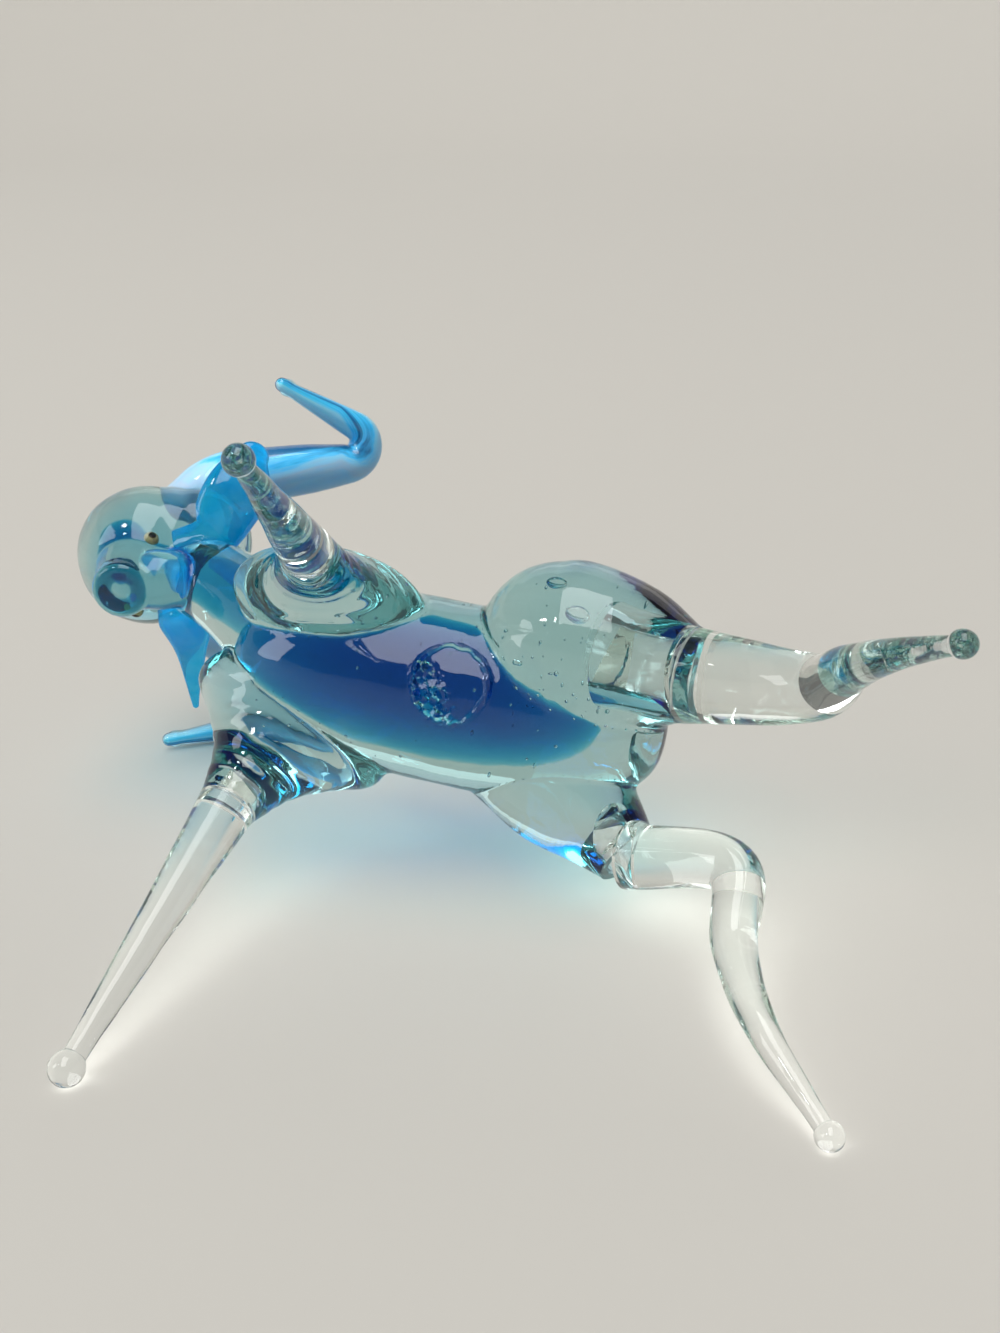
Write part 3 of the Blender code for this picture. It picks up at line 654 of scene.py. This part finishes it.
# Ears: leaves of cyan glass, dropped on behind the face while hot, pinched flat with tongs and pulled out.
# The left one ends round, and the right one is drawn to a point.
EAR_THICKNESS = {"left": 0.42, "right": 0.55}  # share of the width
EARS = {  # points on each ear's middle line from the crown's middle, and the half width there
    "left": [(-0.0070, 0.0040, -0.003, 0.0034), (-0.0143, 0.0090, -0.004, 0.0050),
             (-0.0158, 0.0164, -0.002, 0.0070), (-0.0168, 0.0232, 0.001, 0.0061),
             (-0.0171, 0.0272, 0.003, 0.0036)],
    "right": [(-0.0070, -0.0050, -0.003, 0.0036), (-0.0126, -0.0103, -0.005, 0.0060),
              (-0.0146, -0.0180, -0.002, 0.0035), (-0.0158, -0.0255, 0.001, 0.0018),
              (-0.0170, -0.0322, 0.004, 0.0007)],
}
EAR_INDEX = 1.45
WISP = 0.006

# Opalescent cyan glass, pinched: part clear and part milky, so that it glows from inside, with paler wisps
# where the milk was stirred in unevenly.
cyan, cyan_shader = melt("opalescent cyan glass, pinched", seen_through="#12B8E8", thickness=0.022,
                         ior=EAR_INDEX)
tree = cyan.node_tree
where = add(tree, "ShaderNodeTexCoord")
stirred = add(tree, "ShaderNodeTexNoise", {
    "Vector": where.outputs["Object"], "Scale": 1 / WISP, "Detail": 3.0, "Distortion": 1.2})
wisp = add(tree, "ShaderNodeValToRGB", {"Fac": stirred.outputs["Fac"]})
wisp.color_ramp.elements[0].color = (*linear("#12C4F4"), 1.0)
wisp.color_ramp.elements[1].color = (*linear("#48D6F8"), 1.0)
wisp.color_ramp.elements[0].position = 0.42
wisp.color_ramp.elements[1].position = 0.68
tree.links.new(wisp.outputs["Color"], cyan_shader.inputs["Base Color"])
cyan_shader.inputs["Transmission Weight"].default_value = 0.70
for side in ("left", "right"):
    ear = bmesh.new()
    points = [station(HEAD + Vector(row[:3]), row[3], row[3] * EAR_THICKNESS[side]) for row in EARS[side]]
    loft(ear, rings_along(round_tip(between(points, 10)), 36)[0])
    finish_bit("ear_leaf_" + side, ear, cyan, "cyan_glass", "ear_" + side)

# Horns: pale cyan glass drawn over a cane of opal white glass, bent back and then curled forward while soft.
# The root is rounded and lies inside the crown, and the last drop is left at the tip.
HORNS = {  # root, two corners and tip from the crown's middle
    "left": [(0.0015, 0.005, 0.010), (-0.0075, 0.0183, 0.0135), (-0.046, 0.0336, 0.035),
             (-0.016, 0.043, 0.019)],
    "right": [(-0.0025, -0.005, 0.010), (-0.0125, -0.0158, 0.0135), (-0.0485, -0.031, 0.035),
              (-0.009, -0.047, 0.0172)],
}
HORN_BENDS = (0.014, 0.0048)  # radius of the sweep back and of the curl forward
HORN_RADIUS = (0.0060, 0.0066, 0.0059, 0.0046, 0.0038, 0.0026, 0.0015)
HORN_SHARES = (0.0, 0.25, 0.48, 0.60, 0.70, 0.85, 1.0)  # of the horn's length, where it has these radii
BEND_STEPS = 24
HORN_EASE = 60  # passes that ease the change from radius to radius
HORN_DROP = 0.30  # how much the last drop of glass stands out at the tip
HORN_DROP_PLACE, HORN_DROP_LENGTH = 0.985, 0.014  # shares of the horn's length
HORN_ROOT = 0.06  # the share of the horn that rounds off inside the crown
CANE_SHARE = (0.95, 0.50)  # of the horn's radius, at its base and at the cane's end
CANE_END = 0.99
# The stripe's place round the cane in degrees, its strength and how far its colour has run, each at shares of
# the horn's length.
STRIPE_TURN = ((0.25, 35), (0.52, -5), (0.63, 70), (0.75, 205))
STRIPE_DEPTH = ((0.10, -0.3), (0.27, 1.1), (0.52, 1.1), (0.62, 0.35))
STRIPE_SPREAD = ((0.0, 0.0), (0.50, 1.2), (0.65, 2.3), (1.0, 2.5))
STRIPE_WISP = 2.4  # wisps along the horn and round it
STRIPE_WANDER = 0.9
STRIPE_SIDED = 0.55
STRIPE_TIPWARD = 0.10


def bent_rod(corners, bends, count):
    """Stations of a horn from corner to corner with round bends."""
    track = [corners[0]]
    for before, corner, after, radius in zip(corners, corners[1:], corners[2:], bends):
        back = (before - corner).normalized()
        onward = (after - corner).normalized()
        half = back.angle(onward) / 2
        centre = corner + (back + onward).normalized() * radius / math.sin(half)
        start = (corner + back * radius / math.tan(half) - centre).normalized()
        end = (corner + onward * radius / math.tan(half) - centre).normalized()
        track += [centre + start.slerp(end, k / BEND_STEPS) * radius for k in range(BEND_STEPS + 1)]
    track.append(corners[-1])
    run = [0.0]
    for here, there in zip(track, track[1:]):
        run.append(run[-1] + (there - here).length)
    shares = np.linspace(0, 1, count + 1)
    places = np.stack([np.interp(shares * run[-1], run, [point[k] for point in track]) for k in range(3)], 1)
    radii = np.interp(shares, HORN_SHARES, HORN_RADIUS)
    for _ in range(HORN_EASE):
        radii[1:-1] = (radii[:-2] + 2 * radii[1:-1] + radii[2:]) / 4
    radii *= 1 + HORN_DROP * np.exp(-((shares - HORN_DROP_PLACE) / HORN_DROP_LENGTH) ** 2)
    radii *= np.sqrt(1 - np.clip(1 - shares / HORN_ROOT, 0, 1) ** 2)
    return [station(place, radius) for place, radius in zip(places, radii)]


# Pale cyan glass, drawn: a thin, glossy skin that tints the white under it and is deeper at the horn's edges.
horn_glass, _ = melt("pale cyan glass, drawn over white", seen_through="#A6E0F3", thickness=0.004,
                     ior=GLASS_INDEX)

# Opal white glass, which scatters light like milk, with a cyan stripe that winds round it and spreads towards
# the tip. The grain layer holds how far the stripe's colour has run at a point, how far the point lies on the
# stripe's side, and the sine of its place round the cane.
opal = bpy.data.materials.new("opal white cane with a cyan stripe")
opal.use_nodes = True
tree = opal.node_tree
tree.nodes.clear()
grain = add(tree, "ShaderNodeAttribute", attribute_name="grain")
part = add(tree, "ShaderNodeSeparateXYZ", {"Vector": grain.outputs["Vector"]})
wisps = add(tree, "ShaderNodeTexNoise", {
    "Vector": grain.outputs["Vector"], "Scale": STRIPE_WISP, "Detail": 4.0})
wander = add(tree, "ShaderNodeMath", {0: wisps.outputs["Fac"], 1: STRIPE_WANDER}, operation="MULTIPLY")
sided = add(tree, "ShaderNodeMath", {0: part.outputs["Y"], 1: STRIPE_SIDED, 2: wander.outputs[0]},
            operation="MULTIPLY_ADD")
tipward = add(tree, "ShaderNodeMath", {0: part.outputs["X"], 1: STRIPE_TIPWARD, 2: sided.outputs[0]},
              operation="MULTIPLY_ADD")
stripe = add(tree, "ShaderNodeValToRGB", {"Fac": tipward.outputs[0]})
ramp = stripe.color_ramp
for place, colour in ((0.06, "#A9D3EA"), (0.36, "#C9CFDD"), (0.62, "#B0DCF0"), (0.78, "#56CEF6"),
                      (0.99, "#0A6F9C")):
    element = ramp.elements.new(place)
    element.color = (*linear(colour), 1.0)
ramp.elements.remove(ramp.elements[0])
ramp.elements.remove(ramp.elements[-1])
milk = add(tree, "ShaderNodeBsdfPrincipled", {
    "Base Color": stripe.outputs["Color"], "Roughness": 0.35, "Subsurface Weight": 0.8,
    "Subsurface Radius": (0.004, 0.004, 0.005), "Subsurface Scale": 1.0})
add(tree, "ShaderNodeOutputMaterial", {"Surface": milk.outputs[0]})
for side in ("left", "right"):
    path = bent_rod([HEAD + Vector(corner) for corner in HORNS[side]], HORN_BENDS, 120)
    horn = bmesh.new()
    loft(horn, rings_along(round_tip(path), 44)[0])
    finish_bit("horn_rod_" + side, horn, horn_glass, "cyan_glass", "horn_" + side)
    cane = bmesh.new()
    layer = cane.verts.layers.float_vector.new("grain")
    shares = CANE_SHARE[0] + (CANE_SHARE[1] - CANE_SHARE[0]) * np.linspace(0, 1, len(path)) ** 2
    inner = [station(spot[0], before[1] * share) for before, spot, share in zip(path, path[1:], shares)]
    loops = loft(cane, rings_along(round_tip(inner[:round(CANE_END * len(path))]), 32)[0])
    for i, loop in enumerate(loops):
        for k, vert in enumerate(loop):
            reach = i / len(loops)
            turn = 2 * math.pi * k / len(loop) - math.radians(np.interp(reach, *zip(*STRIPE_TURN)))
            depth = np.interp(reach, *zip(*STRIPE_DEPTH))
            vert[layer] = (np.interp(reach, *zip(*STRIPE_SPREAD)), math.cos(turn) * depth, math.sin(turn))
    finish_bit("horn_cane_" + side, cane, opal, "opal_glass", "horn_core_" + side)

# Forelegs: clear rods, set with a stub in the shoulder pads and drawn out to a thin ankle, with a drop of
# glass left at the end for the foot.
FORE_KNEE_RADIUS = {"left": 0.0034, "right": 0.0038}
FORE_ANKLE_RADIUS = {"left": 0.0017, "right": 0.0021}
FORE_BALL = {"left": 0.0026, "right": 0.0032}
SOLE_CUT = 0.0003  # how far a foot's ball reaches past the plane of the soles
ANKLE_RISE = 1.6  # of the ankle above the foot's middle, in radii of the foot

# The same soda-lime glass drawn from a clean pot, so that it is nearly colourless even along a whole leg.
rod_glass, _ = melt("soda-lime glass, drawn", seen_through="#F0F7F4", thickness=0.020, ior=GLASS_INDEX)


def ball_foot(stations, centre, radius, count=20):
    """End a leg in a ball, from where the ball is as wide as the ankle."""
    ankle = stations[-1][1]
    along = (centre - stations[-2][0]).normalized()
    first = math.asin(min(1.0, ankle / radius))
    balls = []
    for i in range(count + 1):
        turn = first + (math.pi - first) * i / count
        share = math.sin(turn) if i < count else 0.0
        balls.append(station(centre - along * radius * math.cos(turn), radius * share))
    return stations[:-1] + balls


def stubbed(rings, end):
    """A leg's rings with its stub put before them, a film's width clear of its socket."""
    _, aim, depth = end
    start = [point + aim * AIR_FILM for point in rings[0]]
    middle = sum(start, Vector()) / len(start)
    neck = [middle.lerp(point, STUB_SHARE) for point in start]
    return [[point + depth for point in neck], neck, start] + rings[1:]


for side in ("left", "right"):
    elbow = on_axis(*ELBOW[side])
    radius = FORE_BALL[side]
    foot = Vector((*FORE_FOOT[side], radius - SOLE_CUT))
    ankle = foot - (foot - elbow).normalized() * radius * ANKLE_RISE
    drawn = between([station(elbow, ELBOW_RADIUS[side]),
                     station(elbow.lerp(ankle, 0.5), FORE_KNEE_RADIUS[side]),
                     station(ankle, FORE_ANKLE_RADIUS[side])], 16)
    leg = bmesh.new()
    loft(leg, stubbed(rings_along(ball_foot(drawn, foot, radius), 40)[0], shoulder_end[side]))
    finish_bit("foreleg_rod_" + side, leg, rod_glass, "clear_glass", "foreleg_" + side)

# Hind legs: a thick rod set in the haunch for the upper leg and a drawn rod set on its end for the lower leg,
# bent at the hock and ending in a drop for the foot.
HOCK = {"left": (-0.0661, 0.0265, 0.0480), "right": (-0.0628, -0.0115, 0.0500)}
HOCK_RADIUS = {"left": 0.0062, "right": 0.0052}
CANNON = {"left": (-0.0684, 0.0338, 0.0350), "right": (-0.0653, -0.0204, 0.0360)}
CANNON_RADIUS = {"left": 0.0042, "right": 0.0042}
SHIN = {"left": (-0.0722, 0.0414, 0.0180), "right": (-0.0705, -0.0257, 0.0180)}
SHIN_RADIUS = {"left": 0.0025, "right": 0.0029}
HIND_ANKLE_RADIUS = {"left": 0.0016, "right": 0.0017}
HIND_BALL = {"left": 0.0023, "right": 0.0025}
HOCK_JOINT = 18  # the ring of the leg at which its two rods meet, just below the bend
for side in ("left", "right"):
    radius = HIND_BALL[side]
    foot = Vector((*HIND_FOOT[side], radius - SOLE_CUT))
    shin = Vector(SHIN[side])
    ankle = foot - (foot - shin).normalized() * radius * ANKLE_RISE
    limb = between([station(on_axis(*STIFLE[side]), STIFLE_RADIUS[side]),
                    station(HOCK[side], HOCK_RADIUS[side]), station(CANNON[side], CANNON_RADIUS[side]),
                    station(shin, SHIN_RADIUS[side]), station(ankle, HIND_ANKLE_RADIUS[side])], 14)
    rings, aims = rings_along(ball_foot(limb, foot, radius), 40)
    upper = bmesh.new()
    loft(upper, stubbed(rings[:HOCK_JOINT + 1], haunch_end[side]))
    finish_bit("upper_hind_leg_" + side, upper, rod_glass, "clear_glass", "gaskin_" + side)
    lower = bmesh.new()
    film = aims[HOCK_JOINT] * AIR_FILM
    loft(lower, [[point + film for point in rings[HOCK_JOINT]]] + rings[HOCK_JOINT + 1:])
    finish_bit("lower_hind_leg_" + side, lower, rod_glass, "clear_glass", "cannon_" + side)

# Tail: a short curl of clear glass, dropped on top of the rump and pulled up to a thinner end as it set. It
# is of the same drawn glass as the legs.
TAIL_X = -0.036
TAIL_REACH = 0.009
TAIL_LIFT = 0.010
TAIL_RADIUS = 0.0034
TAIL_BEND_RADIUS = TAIL_RADIUS * 0.9
TAIL_TIP_RADIUS = 0.0018
TAIL_SEAT, TAIL_CLEAR = 0.55, 0.1  # in radii of the body, up from its middle line and past the curl's lift
TAIL_BEND = (0.7, 0.5)  # shares of the reach and of the lift
tail = bmesh.new()
base = on_axis(TAIL_X, rise=BODY_RADIUS * TAIL_SEAT)
bend = base + Vector((-TAIL_REACH * TAIL_BEND[0], 0, TAIL_LIFT * TAIL_BEND[1]))
tip = base + Vector((-TAIL_REACH, 0, TAIL_LIFT + BODY_RADIUS * TAIL_CLEAR))
loft(tail, rings_along(round_tip(between([station(base, TAIL_RADIUS), station(bend, TAIL_BEND_RADIUS),
                                          station(tip, TAIL_TIP_RADIUS)], 10)), 32)[0])
finish_bit("tail_curl", tail, rod_glass, "clear_glass", "tail")

# Floor: a sheet of pale matt paper that curves up all round. The paper has next to no gloss, so the light
# that the figure gathers and its shadow show on it.
FLOOR_RADIUS = 1.8
COVE = 1.2
COVE_STEPS = 16
floor_form = bmesh.new()
bends = [math.pi / 2 * k / COVE_STEPS for k in range(COVE_STEPS + 1)]
profile = [floor_form.verts.new((0, 0, 0))]
profile += [floor_form.verts.new((FLOOR_RADIUS + COVE * math.sin(a), 0, COVE - COVE * math.cos(a)))
            for a in bends]
lines = [floor_form.edges.new(pair) for pair in zip(profile, profile[1:])]
bmesh.ops.spin(floor_form, geom=profile + lines, cent=(0, 0, 0), axis=(0, 0, 1), angle=2 * math.pi, steps=96,
               use_merge=True)
floor_mesh = bpy.data.meshes.new("floor")
floor_form.to_mesh(floor_mesh)
floor_form.free()
floor_mesh.shade_smooth()
floor = placed("floor", floor_mesh)
paper = bpy.data.materials.new("pale matt paper")
paper.use_nodes = True
paper_shader = paper.node_tree.nodes["Principled BSDF"]
paper_shader.inputs["Base Color"].default_value = (*linear("#CCC9C2"), 1.0)
paper_shader.inputs["Roughness"].default_value = 0.9
floor_mesh.materials.append(paper)

# Light: a large softbox above, a narrow one at the left, a wide dim one behind and a small bright one, in a
# darker room, which gives the glass its dark edges.
LIT_PLACE = Vector((0, 0, 0.05))
room = bpy.data.worlds.new("room")
room.use_nodes = True
room.node_tree.nodes["Background"].inputs["Color"].default_value = (*linear("#6E6C69"), 1.0)
bpy.context.scene.world = room
SOFTBOXES = {  # where each hangs, its width and height, and the brightness of its cloth
    "softbox_above": ((-0.10, -0.93, 5.92), 3.2, 6.2, 4.25),
    "softbox_left": ((-2.60, -0.80, 1.30), 0.9, 1.8, 4.0),
    "softbox_behind": ((0.60, 2.55, 1.15), 4.6, 1.8, 0.60),
    "softbox_small": ((-1.40, -1.00, 2.40), 0.3, 0.3, 30.0),
}
for name, (place, wide, tall, bright) in SOFTBOXES.items():
    lamp = bpy.data.lights.new(name, "AREA")
    lamp.shape = "RECTANGLE"
    lamp.size = wide
    lamp.size_y = tall
    lamp.energy = bright * math.pi * wide * tall
    softbox = placed(name, lamp)
    softbox.location = place
    softbox.rotation_euler = (LIT_PLACE - Vector(place)).to_track_quat("-Z", "Y").to_euler()
    softbox.visible_camera = False

# Camera: close before the belly, looking a little down on it. Light passes many skins of glass on its way,
# and each turn back inside the glass counts as a reflection, so both kinds of bounce are many.
CAMERA_PLACE = (0.01263, -0.24766, 0.16164)
CAMERA_TILT = math.radians(65.3)
SENSOR_MM, LENS_MM = 36.0, 37.81
GLASS_BOUNCES = 40
lens = bpy.data.cameras.new("camera")
lens.sensor_fit = "VERTICAL"
lens.sensor_height = SENSOR_MM
lens.lens = LENS_MM
lens.clip_start = 0.01
camera = placed("camera", lens)
camera.location = CAMERA_PLACE
camera.rotation_euler = (CAMERA_TILT, 0.0, 0.0)
scene = bpy.context.scene
scene.camera = camera
scene.view_settings.view_transform = "Standard"
scene.cycles.max_bounces = GLASS_BOUNCES
scene.cycles.glossy_bounces = GLASS_BOUNCES
scene.cycles.transmission_bounces = GLASS_BOUNCES
scene.cycles.transparent_max_bounces = 24
